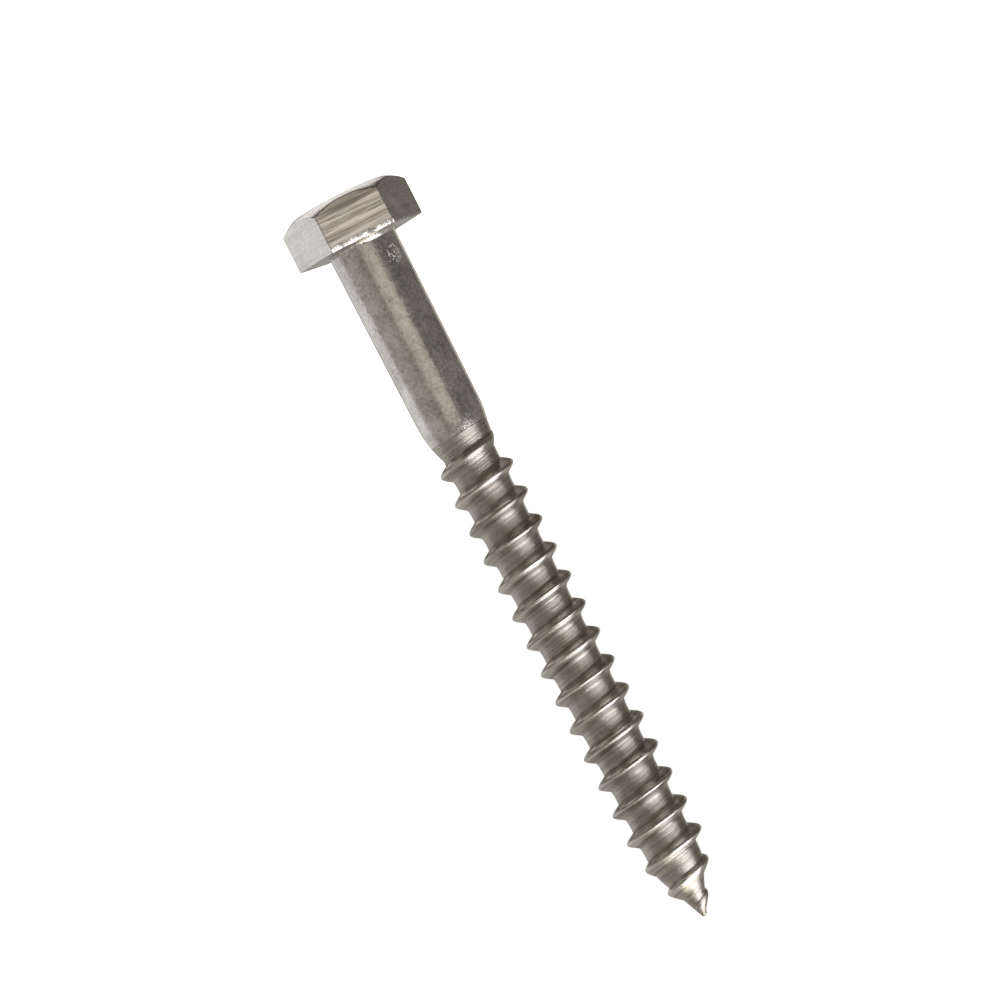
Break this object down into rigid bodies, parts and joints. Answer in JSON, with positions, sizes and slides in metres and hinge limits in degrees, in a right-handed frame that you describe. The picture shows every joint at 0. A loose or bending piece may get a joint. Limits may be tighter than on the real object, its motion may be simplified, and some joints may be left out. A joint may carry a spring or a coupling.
{
  "type": "wood screw",
  "caption": "Hexagon-head wood screw (coach screw) in stainless steel, with a plain upper shank, a coarse right-hand thread and a gimlet point.",
  "frame": {"origin": "centre of the flat top of the head, which the screw stands on here", "axes": "+Z along the screw from the head to the point, +Y and -Y square to two opposite flats of the hexagon, +X through a corner"},
  "size_m": [0.0196, 0.017, 0.1146],
  "materials": {
    "stainless_steel": "satin, cold forged and thread rolled, with trimming lines on the head and rolling lines along the thread"
  },
  "bodies": {
    "root": {"coach_screw": "stainless_steel"}
  },
  "joints": []
}
